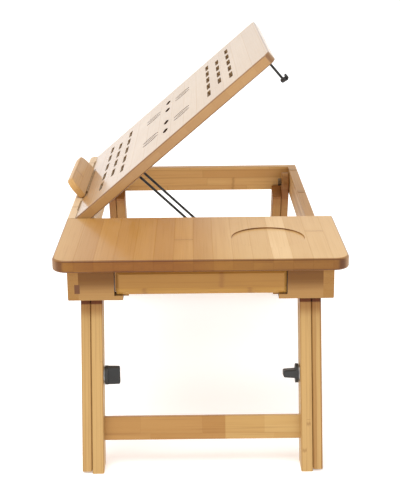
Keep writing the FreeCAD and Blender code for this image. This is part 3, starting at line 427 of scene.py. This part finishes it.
@dataclass(frozen=True)
class Bamboo:
    """Laminated bamboo under clear varnish.

    Each strip has its own tone and ends at random in a butt joint, where the next length has a new tone.
    Fine fibres run along it, brown knuckle marks cross some strips, and thin seams part the strips.
    Cut ends show darker, dotted grain. The stains are laid over all of that, in their order.
    Each pair of scales says how often a pattern changes in a metre, along the grain and across it.
    """

    name: str
    lie: Lie
    pale: Colour = (0.560, 0.310, 0.118)
    warm: Colour = (0.420, 0.205, 0.066)
    deep: Colour = (0.200, 0.078, 0.022)
    strip: float = 20.0 * MM
    layer: float = 6.2 * MM
    offset: float = 3.0 * MM
    length: float = 0.9
    butt_w: float = 0.5 * MM
    knuckle_every: float = 0.24
    knuckle_w: float = 3.0 * MM
    knuckle_share: float = 0.35
    knuckle_wobble: float = 4.0 * MM
    halo_spread: float = 6.0
    fibre_scales: tuple[float, float] = (11.0, 700.0)
    streak_scales: tuple[float, float] = (4.0, 190.0)
    cloud_scales: tuple[float, float] = (9.0, 22.0)
    pore_scale: float = 1150.0
    seam: float = 0.22
    contrast: float = 1.0
    gloss: float = 0.40
    varnish: float = 0.12
    shine: float = 0.25
    end_share: float = 0.75
    stains: tuple[Overlay, ...] = ()

    def material(self) -> bpy.types.Material:
        """Return the finished material."""
        web = Web(self.name)
        turn = self.lie.turn()
        spot = web.place(turn)
        along, across, depth = (web.part(spot, axis) for axis in range(3))
        strip_at = (across + self.offset) / self.strip
        layer_at = depth / self.layer
        cell = web.join(strip_at.floor(), layer_at.floor(), 7.0)
        start = web.dice(cell)
        piece = along / self.length + start * 5.0
        tone = web.dice(web.join(strip_at.floor(), layer_at.floor(), piece.floor()))

        run, fine = self.fibre_scales
        fibre = web.noise(web.join(along * run, across * fine, depth * fine), 1.0, 2.0)
        run, fine = self.streak_scales
        streak = web.noise(web.join(along * run + tone * 9.0, across * fine, depth * fine), 1.0, 3.0)
        run, fine = self.cloud_scales
        cloud = web.noise(web.join(along * run, across * fine, depth * fine + tone * 5.0), 1.0, 2.0)

        rung = (along / self.knuckle_every + start * 4.0).fraction() * self.knuckle_every
        wobble = (fibre - 0.5) * self.knuckle_wobble
        from_rung = abs(rung + wobble - self.knuckle_every / 2)
        some = web.dice(web.join(strip_at.floor() + 5.0, layer_at.floor(), 1.0)) < self.knuckle_share
        knuckle = (1.0 - from_rung.ramp(0.0, self.knuckle_w)) * some
        halo = (1.0 - from_rung.ramp(0.0, self.knuckle_w * self.halo_spread)) * some

        strip_body = 1.0 - abs(strip_at.fraction() - 0.5).ramp(0.455, 0.5)
        layer_body = 1.0 - abs(layer_at.fraction() - 0.5).ramp(0.42, 0.5)
        butt = abs(piece.fraction() - 0.5).ramp(0.5 - self.butt_w / self.length, 0.5)
        seam = 1.0 - strip_body * layer_body * (1.0 - butt)

        mixed = ((tone * 0.6 + cloud * 0.4) - 0.5) * self.contrast + 0.5
        colour = web.blend(mixed.ramp(0.10, 0.90), self.pale, self.warm)
        colour = web.blend(streak.ramp(0.45, 0.78) * (0.55 * self.contrast), colour, self.warm)
        colour = web.blend(fibre.ramp(0.52, 0.80) * (0.30 * self.contrast), colour, self.deep)
        colour = web.blend(seam * self.seam, colour, self.deep)
        colour = web.blend(halo * 0.28, colour, self.warm)
        colour = web.blend(knuckle * 0.42, colour, self.deep)

        end = abs(web.part(web.facing(turn), 0)).ramp(0.75, 0.95)
        pores = web.node("ShaderNodeTexVoronoi", {}, web.join(0.0, across, depth), Scale=self.pore_scale)
        dots = 1.0 - pores.ramp(0.12, 0.42)
        cut = web.blend(dots * 0.5, self.warm, self.deep)
        colour = web.blend(end * self.end_share, colour, cut)
        for overlay in self.stains:
            colour = overlay.over(web, colour)
        web.fix(Base_Color=colour)
        web.fix(Roughness=(fibre * 0.10 + cloud * 0.10 + seam * 0.12 + end * 0.15) + self.gloss)
        web.fix(Coat_Weight=self.varnish, Coat_Roughness=0.16, Coat_IOR=1.5, IOR=1.45)
        web.fix(Specular_IOR_Level=self.shine)
        height = fibre * 0.35 - seam * 0.8 + knuckle * 0.5 - dots * end * 0.5
        web.bump(height, 0.12 * MM, 0.55)
        return web.material


@dataclass(frozen=True)
class PlatedSteel:
    """Zinc-plated wire and sheet, a little cloudy, duller where it is handled."""

    name: str = "plated_steel"
    colour: Colour = (0.50, 0.50, 0.49)
    shade: Colour = (0.30, 0.30, 0.30)
    dullness: float = 0.28

    def material(self) -> bpy.types.Material:
        """Return the finished material."""
        web = Web(self.name)
        spot = web.place()
        cloud = web.noise(spot, 160.0, 4.0)
        fleck = web.noise(spot, 1400.0, 2.0)
        web.fix(Base_Color=web.blend((cloud * 0.7 + fleck * 0.3).ramp(0.35, 0.75), self.colour, self.shade))
        web.fix(Metallic=1.0, Roughness=cloud * 0.22 + fleck * 0.08 + self.dullness)
        web.bump(fleck * 0.5 + cloud * 0.5, 0.05 * MM, 0.3)
        return web.material


@dataclass(frozen=True)
class MouldedPlastic:
    """Matt moulded plastic with a fine spark-eroded texture and paler worn edges."""

    name: str = "knob_plastic"
    colour: Colour = (0.013, 0.013, 0.012)
    worn: Colour = (0.034, 0.033, 0.031)
    dullness: float = 0.46

    def material(self) -> bpy.types.Material:
        """Return the finished material."""
        web = Web(self.name)
        spot = web.place()
        texture = web.noise(spot, 2600.0, 2.0)
        smear = web.noise(spot, 90.0, 3.0)
        edge = web.node("ShaderNodeNewGeometry", {}, out="Pointiness").ramp(0.52, 0.60)
        colour = web.blend(smear.ramp(0.4, 0.8) * 0.35, self.colour, self.worn)
        web.fix(Base_Color=web.blend(edge * 0.5, colour, self.worn))
        web.fix(Roughness=smear * 0.16 + texture * 0.08 + self.dullness)
        web.bump(texture, 0.06 * MM, 0.5)
        return web.material


@dataclass(frozen=True)
class PadRubber:
    """Soft bumper pad, matt and slightly dusty."""

    name: str = "pad_rubber"
    colour: Colour = (0.16, 0.15, 0.14)
    dust: Colour = (0.30, 0.28, 0.26)

    def material(self) -> bpy.types.Material:
        """Return the finished material."""
        web = Web(self.name)
        spot = web.place()
        speck = web.noise(spot, 900.0, 3.0)
        web.fix(Base_Color=web.blend(speck.ramp(0.5, 0.75), self.colour, self.dust))
        web.fix(Roughness=speck * 0.2 + 0.65)
        web.bump(speck, 0.06 * MM, 0.4)
        return web.material


@dataclass(frozen=True)
class DrawerFelt:
    """Thin felt that lines the drawer floor."""

    name: str = "drawer_felt"
    colour: Colour = (0.10, 0.055, 0.030)
    lint: Colour = (0.19, 0.12, 0.075)

    def material(self) -> bpy.types.Material:
        """Return the finished material."""
        web = Web(self.name)
        hair = web.noise(web.place(scale=(1.0, 2.2, 1.0)), 1500.0, 4.0)
        patch = web.noise(web.place(), 60.0, 2.0)
        web.fix(Base_Color=web.blend((hair * 0.7 + patch * 0.3).ramp(0.4, 0.7), self.colour, self.lint))
        web.fix(Roughness=hair * 0.1 + 0.85, Sheen_Weight=0.35)
        web.bump(hair, 0.2 * MM, 0.8)
        return web.material


@dataclass(frozen=True)
class PaleFloor:
    """Pale studio floor that burns out to white away from the object."""

    name: str = "pale_floor"
    colour: Colour = (0.96, 0.96, 0.96)
    glow: float = 0.30

    def material(self) -> bpy.types.Material:
        """Return the finished material."""
        web = Web(self.name)
        web.fix(Base_Color=(*self.colour, 1.0), Roughness=0.9, Specular_IOR_Level=0.1,
                Emission_Color=(1.0, 1.0, 1.0, 1.0), Emission_Strength=self.glow)
        return web.material


# --- meshes ------------------------------------------------------------------------------
def grid_mesh(name: str, points: np.ndarray, closed_round: bool) -> bpy.types.Object:
    """Make an object from a grid of points, rows first.

    Args:
        name: the object's name.
        points: array of rows x columns x 3.
        closed_round: whether the last column joins the first.

    Returns:
        The new object, in the scene.
    """
    rows, columns = points.shape[:2]
    index = np.arange(rows * columns).reshape(rows, columns)
    right = np.roll(index, -1, axis=1) if closed_round else index[:, 1:]
    left = index if closed_round else index[:, :-1]
    faces = np.stack([left[:-1], right[:-1], right[1:], left[1:]], axis=-1).reshape(-1, 4)
    mesh = bpy.data.meshes.new(name)
    mesh.from_pydata(points.reshape(-1, 3).tolist(), [], faces.tolist())
    mesh.update()
    thing = bpy.data.objects.new(name, mesh)
    bpy.context.scene.collection.objects.link(thing)
    return thing


def turned_points(profile: np.ndarray, segments: int, relief: Callable | None = None) -> np.ndarray:
    """Turn a profile of (radius, height) about Z, after which relief(x, y, z) may lower the heights."""
    angle = np.linspace(0, 2 * math.pi, segments, endpoint=False)
    x = profile[:, :1] * np.cos(angle)
    y = profile[:, :1] * np.sin(angle)
    z = np.broadcast_to(profile[:, 1:], x.shape)
    if relief is not None:
        z = relief(x, y, z)
    return np.stack([x, y, z], axis=-1)


def set_in_place(thing: bpy.types.Object, place: Matrix, finish: bpy.types.Material, body: str) -> None:
    """Move a new piece's mesh to its place, dress it and let it ride on a body."""
    thing.data.transform(place)
    thing.data.materials.append(finish)
    for face in thing.data.polygons:
        face.use_smooth = True
    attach(thing, body)
    LOG.info("added %s", thing.name)


def towards(direction: Sequence[float], spot: Sequence[float]) -> Matrix:
    """Return the matrix that stands a piece made about Z at a spot, with Z along a direction."""
    turn = Vector(direction).to_track_quat("Z", "Y").to_matrix().to_4x4()
    return Matrix.Translation(Vector(spot)) @ turn


@dataclass
class CrossScrew:
    """Pan-headed screw with a cross-shaped drive."""

    radius: float = 2.2 * MM
    rise: float = 0.9 * MM
    rim: float = 0.12 * MM
    sunk: float = 0.25 * MM
    drive_depth: float = 0.48 * MM
    drive_share: float = 0.62
    arm: float = 0.42 * MM

    def build(self, name: str, place: Matrix, finish: bpy.types.Material, body: str) -> None:
        """Add one screw head.

        The head is a dome on a rim, height = rise * (1 - (r / radius)^2) + rim, lowered inside a cross
        whose arms are |x| or |y| < arm, and its foot is sunk below the surface.
        """
        radii = np.concatenate([np.linspace(0.0, 0.96, 14), [1.0, 1.0, 0.0]]) * self.radius
        heights = self.rise * (1 - (radii / self.radius) ** 2) + self.rim
        heights[-2:] = -self.sunk
        profile = np.stack([radii, heights], axis=-1)
        limit = self.radius * self.drive_share

        def relief(x: np.ndarray, y: np.ndarray, z: np.ndarray) -> np.ndarray:
            """Lower the cross."""
            inside = np.hypot(x, y) < limit
            cross = (np.minimum(abs(x), abs(y)) < self.arm) & inside & (z > 0)
            return np.where(cross, z - self.drive_depth, z)

        thing = grid_mesh(name, turned_points(profile, 32, relief), True)
        set_in_place(thing, place, finish, body)


@dataclass
class WoodPlug:
    """Round bamboo plug, set a hair proud over a screw."""

    radius: float = 4.0 * MM
    proud: float = 0.12 * MM
    sunk: float = 0.2 * MM

    def build(self, name: str, place: Matrix, finish: bpy.types.Material, body: str) -> None:
        """Add one plug: a disc with an eased rim, radius and height following a quarter circle."""
        bend = np.linspace(0, math.pi / 2, 5)
        rim_r = self.radius - self.proud * (1 - np.cos(bend[::-1]))
        rim_z = self.proud * np.sin(bend[::-1])
        radii = np.concatenate([[0.0], rim_r, [self.radius, 0.0]])
        heights = np.concatenate([[self.proud], rim_z, [-self.sunk, -self.sunk]])
        profile = np.stack([radii, heights], axis=-1)
        thing = grid_mesh(name, turned_points(profile, 40), True)
        set_in_place(thing, place, finish, body)


# --- sub-assemblies ----------------------------------------------------------------------
@dataclass
class SubAssembly:
    """Some of the frame's nodes and what is done to them."""

    nodes: dict[str, bpy.types.Object]
    ways: Directions
    finishes: dict[str, bpy.types.Material] = field(default_factory=dict)

    def bamboo(self, name: str, grain: Grain, **changes: object) -> Bamboo:
        """Return a bamboo finish that lies the way a grain runs."""
        return Bamboo(f"{name}_bamboo", self.ways.lie(grain), **changes)

    def dress(self, finish: object, *names: str) -> None:
        """Give nodes a finish."""
        material = finish.material()
        self.finishes[finish.name] = material
        for name in names:
            mesh = self.nodes[name].data
            mesh.materials.clear()
            mesh.materials.append(material)
            LOG.info("dressed %s in %s", name, finish.name)


@dataclass
class Top(SubAssembly):
    """Fixed panel and the front strip that continues its edge."""

    honey: Colour = (0.66, 0.475, 0.19)
    edge_oil: Colour = (0.54, 0.39, 0.11)
    rear_edge_oil: Colour = (0.71, 0.62, 0.54)

    def build(self) -> None:
        """Dress the fixed top; the panel is more honey-coloured towards its front, its end edge darker all
        along with end grain and painted shade, and its rounded edges and rear end corner in painted shade.
        """
        glow = Band(self.ways.across, centre=-0.056, core=0.022, reach=0.130, tint=self.honey)
        # the end face is darker: partly its end grain, partly painted shade
        edge = DarkFace(self.ways.long, self.edge_oil)
        # painted shade: the end face darkens further towards the rear
        rear_edge = Band(self.ways.across, centre=0.150, core=0.060, reach=0.140, tint=self.rear_edge_oil,
                         facing=self.ways.long)
        # painted shade on the panel's rounded edges
        rubbed = ShadedEdges(self.ways.lie(Grain.LENGTHWISE))
        panel = self.bamboo("panel", Grain.LENGTHWISE, length=3.1, knuckle_share=0.35, seam=0.14,
                            pale=(0.66, 0.44, 0.208), warm=(0.50, 0.29, 0.100), deep=(0.26, 0.115, 0.030),
                            contrast=0.62, gloss=0.36, varnish=0.3, end_share=0.0,
                            stains=(glow, edge, rear_edge, rubbed))
        self.dress(panel, "fixed_panel")
        strip = self.bamboo("strip", Grain.LENGTHWISE, pale=(0.64, 0.46, 0.28), warm=(0.54, 0.36, 0.20),
                            strip=0.03, offset=0.011)
        self.dress(strip, "front_strip", "front_batten")


@dataclass
class Frame(SubAssembly):
    """Rails, end blocks, runners and the notched beam under the top."""

    plug_inset: float = 7.0 * MM
    plug_rise: float = 8.0 * MM
    screw_inset: float = 20.0 * MM
    screws_each: int = 3
    shaded: Colour = (0.42, 0.29, 0.12)
    end_oil: Colour = (0.74, 0.68, 0.54)
    cheek_shade: Colour = (0.22, 0.14, 0.09)

    def build(self) -> None:
        """Dress the frame and add its plugs and screws."""
        top = self.ways.extent(self.nodes["end_block_front"])[1].z
        # painted shadow: the blocks darken just under the top, where it casts its shadow
        under_top = Band(self.ways.rise, centre=top, core=0.010, reach=0.026, tint=self.shaded)
        # painted shade on the blocks' side faces, which stand in the drawer gap
        cheeks = (DarkFace(self.ways.across, self.cheek_shade), DarkFace(-self.ways.across, self.cheek_shade))
        # painted shade on the rails' end faces, which lie in the top's shadow
        rail = self.bamboo("rail", Grain.LENGTHWISE, strip=0.045, layer=0.0066, offset=0.02,
                           pale=(0.55, 0.34, 0.130), warm=(0.42, 0.22, 0.070),
                           stains=(DarkFace(self.ways.long, self.end_oil),))
        self.dress(rail, "front_rail", "rear_rail", "drawer_runner_front", "drawer_runner_rear")
        block = self.bamboo("block", Grain.CROSSWISE, strip=0.05, layer=0.0125, pale=(0.46, 0.27, 0.090),
                            warm=(0.37, 0.195, 0.060), knuckle_share=0.0, stains=(under_top, *cheeks))
        self.dress(block, "end_block_front", "end_block_rear")
        cross = self.bamboo("cross", Grain.CROSSWISE, strip=0.05, layer=0.0110, offset=0.013, length=0.11,
                            pale=(0.57, 0.335, 0.118), warm=(0.46, 0.24, 0.074), seam=0.3)
        self.dress(cross, "far_end_rail", "prop_beam", "notch_rack", "drawer_housing_back")
        key = self.bamboo("key", Grain.LENGTHWISE, pale=(0.20, 0.085, 0.035), warm=(0.14, 0.055, 0.022))
        self.dress(key, "frame_key")
        self.dress(PadRubber("pad_felt", colour=(0.36, 0.22, 0.11), dust=(0.42, 0.27, 0.15)), "rail_pads")
        self.dress(PlatedSteel("pivot_steel", colour=(0.16, 0.105, 0.055), shade=(0.07, 0.045, 0.025)),
                   "leg_pivot_bolts", "leg_pivot_nuts")
        self.add_plugs()
        self.add_runner_screws()

    def add_plugs(self) -> None:
        """Add two plugs at each end of both long rails."""
        plug = WoodPlug()
        material = self.bamboo("plug", Grain.CROSSWISE, pale=(0.40, 0.21, 0.085)).material()
        for rail, side in (("front_rail", -1), ("rear_rail", 1)):
            low, high = self.ways.extent(self.nodes[rail])
            face = high[1] if side > 0 else low[1]
            for end, x in (("far", low[0] + self.plug_inset), ("near", high[0] - self.plug_inset)):
                for row, z in (("low", low[2] + self.plug_rise), ("high", high[2] - self.plug_rise)):
                    place = self.ways.place((0, side, 0), (x, face, z))
                    plug.build(f"{rail}_plug_{end}_{row}", place, material, "frame")

    def add_runner_screws(self) -> None:
        """Add screws up through each runner's lip."""
        screw = CrossScrew()
        steel = self.finishes["pivot_steel"]
        for side in ("front", "rear"):
            low, high = self.ways.extent(self.nodes[f"drawer_runner_{side}"])
            y = (low[1] + high[1]) / 2
            row = np.linspace(low[0] + self.screw_inset, high[0] - self.screw_inset, self.screws_each)
            for index, x in enumerate(row):
                place = self.ways.place((0, 0, -1), (float(x), y, low[2]))
                screw.build(f"runner_screw_{side}_{index + 1}", place, steel, "frame")


@dataclass
class TiltingBoard(SubAssembly):
    """Slotted board with its hinges, bail saddles, hook bush and book ledge."""

    petal_burn: Colour = (0.11, 0.06, 0.035)
    petal_margin: float = 0.3
    edge_oil: Colour = (0.88, 0.77, 0.56)
    handled: Colour = (0.86, 0.77, 0.68)

    def build(self) -> None:
        """Dress the board and what it carries; painted shadow of the ledge browns its surface there, and
        painted shade darkens its slots and rounded edges.
        """
        lie = self.ways.lie(Grain.BOARD)
        low, high = self.ways.extent(self.nodes["tilt_board"], Grain.BOARD)
        inward = Vector((0, (high.y - low.y) * self.petal_margin, 0))
        # painted shade in the cut slots, and darker painted shade in the narrow petal slots
        painted_slot_shade = ShadedSlots(lie, low, high)
        painted_petal_shade = ShadedSlots(lie, low + inward, high - inward, burnt=self.petal_burn)
        edge = DarkFace(self.ways.long, self.edge_oil)
        # painted shadow, cast by the book ledge on the board's surface
        painted_ledge_shadow = Band(self.ways.across, centre=-0.140, core=0.02, reach=0.10, tint=self.handled,
                        facing=lie.layers)
        # the board's rounded edges also take painted shade
        board = self.bamboo("board", Grain.BOARD, knuckle_share=0.12, seam=0.10, contrast=0.7,
                            pale=(0.51, 0.325, 0.152), warm=(0.43, 0.255, 0.108), deep=(0.36, 0.20, 0.09),
                            gloss=0.26, varnish=0.75, shine=0.45, end_share=0.2,
                            stains=(painted_slot_shade, painted_petal_shade, edge, ShadedEdges(lie), painted_ledge_shadow))
        self.dress(board, "tilt_board")
        ledge = self.bamboo("ledge", Grain.BOARD, strip=0.024, layer=0.012, offset=0.006, length=3.1,
                            pale=(0.52, 0.295, 0.100), warm=(0.44, 0.232, 0.070), knuckle_share=0.1,
                            seam=0.1, gloss=0.34, varnish=0.2, end_share=0.3)
        self.dress(ledge, "book_ledge")
        leaves = PlatedSteel("hinge_steel", colour=(0.42, 0.27, 0.14), shade=(0.26, 0.155, 0.07),
                             dullness=0.5)
        self.dress(leaves, "board_hinge_fixed_leaves", "board_hinge_moving_leaves", "board_hinge_pins",
                   "ledge_hinge_board_leaf", "ledge_hinge_leaf", "ledge_hinge_pin")
        wire = PlatedSteel("blackened_wire", colour=(0.055, 0.054, 0.052), shade=(0.02, 0.02, 0.02),
                           dullness=0.30)
        self.dress(wire, "prop_bail", "bail_brackets", "latch_hook", "hook_bush")
        cap = PadRubber("cap_rubber", colour=(0.022, 0.022, 0.024), dust=(0.075, 0.075, 0.08))
        self.dress(cap, "hook_cap")


@dataclass
class Drawer(SubAssembly):
    """Drawer with its felt lining, whose surface lies felt_top above the drawer's floor."""

    felt_top: float = 0.6 * MM
    felt_t: float = 0.42 * MM
    felt_gap: float = 0.8 * MM
    felt_cells: int = 60
    ripple: float = 0.08 * MM
    ripple_scales: tuple[float, float] = (260, 310)
    end_shade: Colour = (0.42, 0.32, 0.22)

    def build(self) -> None:
        """Dress the drawer and line its floor."""
        # painted shade: the drawer front's end faces darken, as they stand in the gap beside the end blocks
        ends = tuple(DarkFace(way, self.end_shade, start=0.9, full=0.99)
                     for way in (self.ways.across, -self.ways.across))
        front = self.bamboo("drawer_front", Grain.CROSSWISE, strip=0.05, layer=0.026, offset=0.01,
                            pale=(0.41, 0.21, 0.044), warm=(0.32, 0.15, 0.032), length=0.35, seam=0.1,
                            knuckle_every=0.107, knuckle_share=1.0, knuckle_w=0.0042, stains=ends)
        self.dress(front, "drawer_front")
        side = self.bamboo("drawer_side", Grain.LENGTHWISE, strip=0.03, layer=0.0105, varnish=0.15, gloss=0.5)
        self.dress(side, "drawer_side_front", "drawer_side_rear", "drawer_floor")
        back = self.bamboo("drawer_back", Grain.CROSSWISE, strip=0.03, layer=0.0105, varnish=0.15, gloss=0.5)
        self.dress(back, "drawer_back")
        self.add_felt()

    def add_felt(self) -> None:
        """Lay a felt sheet on the drawer floor, z = top + ripple * sin(x * a) * sin(y * b)."""
        low, high = self.ways.extent(self.nodes["drawer_floor"])
        u, v = (np.linspace(low[axis] + self.felt_gap, high[axis] - self.felt_gap, self.felt_cells)
                for axis in (0, 1))
        x, y = np.meshgrid(u, v, indexing="xy")
        a, b = self.ripple_scales
        z = high[2] + self.felt_top + self.ripple * np.sin(x * a) * np.sin(y * b)
        felt = grid_mesh("drawer_felt", np.stack([x, y, z], axis=-1), False)
        thick = felt.modifiers.new("thickness", "SOLIDIFY")
        thick.thickness = self.felt_t
        thick.offset = -1.0
        set_in_place(felt, self.ways.turned(), DrawerFelt().material(), "drawer")


@dataclass
class LegFrame(SubAssembly):
    """One leg frame: upper slats, sliding lower slats, crossbar, bolts and wing knobs."""

    end: End = End.NEAR
    browned: Colour = (0.74, 0.62, 0.52)
    scorched: Colour = (0.34, 0.17, 0.08)
    rubbed: Colour = (0.82, 0.76, 0.68)
    redder: Colour = (0.80, 0.68, 0.58)
    tones: tuple[Colour, Colour] = ((0.49, 0.300, 0.112), (0.34, 0.175, 0.052))

    def build(self) -> None:
        """Dress the leg frame; painted shadow darkens its slats just under the rails, and painted shade their
        rounded edges.
        """
        end = self.end.value
        grain = Grain.NEAR_LEG if self.end is End.NEAR else Grain.FAR_LEG
        rail_low = self.ways.extent(self.nodes["front_rail"])[0].z
        # painted shadow under the rails on the slats' tops, and painted shade on their rounded edges
        shadows = (Band(self.ways.rise, centre=rail_low, core=0.0074, reach=0.0088, tint=self.scorched),
                   Band(self.ways.rise, centre=rail_low, core=0.012, reach=0.024, tint=self.browned),
                   ShadedEdges(self.ways.lie(grain), self.rubbed))
        pale, warm = self.tones
        upper = self.bamboo(f"{end}_upper", grain, strip=0.0044, layer=0.04, offset=0.0013, length=0.45,
                            pale=pale, warm=warm, knuckle_share=0.6, seam=0.5, contrast=1.35, stains=shadows)
        self.dress(upper, f"{end}_outer_slat_front", f"{end}_outer_slat_rear")
        lower = self.bamboo(f"{end}_lower", grain, strip=0.0044, layer=0.04, offset=0.0030, length=0.45,
                            pale=pale, warm=pale, knuckle_share=0.6, seam=0.5, contrast=1.35, stains=shadows)
        self.dress(lower, f"{end}_inner_slat_front", f"{end}_inner_slat_rear")
        dark_length = Band(self.ways.across, centre=-0.036, core=0.0640, reach=0.0645, tint=self.redder)
        bar = self.bamboo(f"{end}_bar", Grain.CROSSWISE, strip=0.05, layer=0.030, offset=0.0, length=0.064,
                          knuckle_every=0.064, pale=(0.52, 0.325, 0.120), warm=(0.44, 0.25, 0.080),
                          seam=0.1, stains=(dark_length,))
        self.dress(bar, f"{end}_crossbar")
        self.dress(PlatedSteel(f"{end}_bolt_steel"), f"{end}_knob_bolts", f"{end}_knob_washers")
        self.dress(MouldedPlastic(f"{end}_knob_plastic"), f"{end}_knob_front", f"{end}_knob_rear")


# --- setting -----------------------------------------------------------------------------
@dataclass(frozen=True)
class Lamp:
    """A soft square light: its size in metres, its power in watts, where it hangs and what it points at."""

    name: str
    spot: tuple[float, float, float]
    aim: tuple[float, float, float]
    watts: float
    size: float = 1.6

    def build(self) -> None:
        """Add the light."""
        data = bpy.data.lights.new(self.name, "AREA")
        data.shape = "SQUARE"
        data.size = self.size
        data.energy = self.watts
        lamp = bpy.data.objects.new(self.name, data)
        lamp.location = self.spot
        lamp.rotation_euler = (Vector(self.aim) - Vector(self.spot)).to_track_quat("-Z", "Y").to_euler()
        bpy.context.scene.collection.objects.link(lamp)


@dataclass
class Studio:
    """Floor, lights and camera; the lens and the sensor are in millimetres."""

    lamps: tuple[Lamp, ...] = (Lamp("key", (0.7, -0.7, 2.4), (0.0, 0.0, 0.2), 30.0),
                               Lamp("fill", (2.0, 1.2, 1.2), (0.0, 0.0, 0.15), 5.0))
    eye: tuple[float, float, float] = (1.38702, -0.0006, 0.58957)
    yaw: float = 0.2213
    pitch: float = 17.664
    roll: float = -0.5455
    lens: float = 85.88
    sensor: float = 36.0
    sees_to: float = 60.0
    floor_size: float = 30.0
    sky: float = 1.0

    def build(self) -> None:
        """Set up the whole studio."""
        self.add_floor()
        self.add_sky()
        for lamp in self.lamps:
            lamp.build()
        self.add_camera()

    def add_floor(self) -> None:
        """Add the pale floor."""
        half = self.floor_size / 2
        points = np.array([[[-half, -half, 0], [half, -half, 0]], [[-half, half, 0], [half, half, 0]]])
        floor = grid_mesh("floor", points, False)
        floor.data.materials.append(PaleFloor().material())

    def add_sky(self) -> None:
        """Give the world an even white."""
        world = bpy.data.worlds.new("studio_white")
        world.use_nodes = True
        background = world.node_tree.nodes["Background"]
        background.inputs["Color"].default_value = (1.0, 1.0, 1.0, 1.0)
        background.inputs["Strength"].default_value = self.sky
        bpy.context.scene.world = world

    def add_camera(self) -> None:
        """Add the camera, looking along -X and down, then rolled about its own axis."""
        a, b, c = (math.radians(v) for v in (self.yaw, self.pitch, self.roll))
        ahead = Vector((-math.cos(a) * math.cos(b), math.sin(a) * math.cos(b), -math.sin(b)))
        level = Vector((math.sin(a), math.cos(a), 0))
        upright = level.cross(ahead)
        right = math.cos(c) * level + math.sin(c) * upright
        up = math.cos(c) * upright - math.sin(c) * level
        data = bpy.data.cameras.new("camera")
        data.sensor_width = self.sensor
        data.lens = self.lens
        data.clip_end = self.sees_to
        camera = bpy.data.objects.new("camera", data)
        turn = Matrix((right, up, -ahead)).transposed().to_4x4()
        camera.matrix_world = Matrix.Translation(Vector(self.eye)) @ turn
        bpy.context.scene.collection.objects.link(camera)
        bpy.context.scene.camera = camera


def main() -> None:
    """Load the frame, dress each sub-assembly in order and set up the studio."""
    logging.basicConfig(level=logging.INFO, format="%(name)s: %(message)s")
    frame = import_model()
    nodes, ways = frame["nodes"], Directions.of(frame)
    bpy.context.scene.view_settings.view_transform = "Standard"
    near_legs = LegFrame(nodes, ways)
    # the far leg frame's darker tones are painted shade, as the far legs stand in shade; its painted shadows
    # under the rails are weaker
    far_legs = LegFrame(nodes, ways, end=End.FAR, tones=((0.42, 0.225, 0.066), (0.33, 0.16, 0.042)),
                        browned=(0.88, 0.80, 0.72), scorched=(0.80, 0.68, 0.56))
    for assembly in (Top(nodes, ways), Frame(nodes, ways), TiltingBoard(nodes, ways), Drawer(nodes, ways),
                     near_legs, far_legs):
        assembly.build()
    Studio().build()


if __name__ == "__main__":
    main()
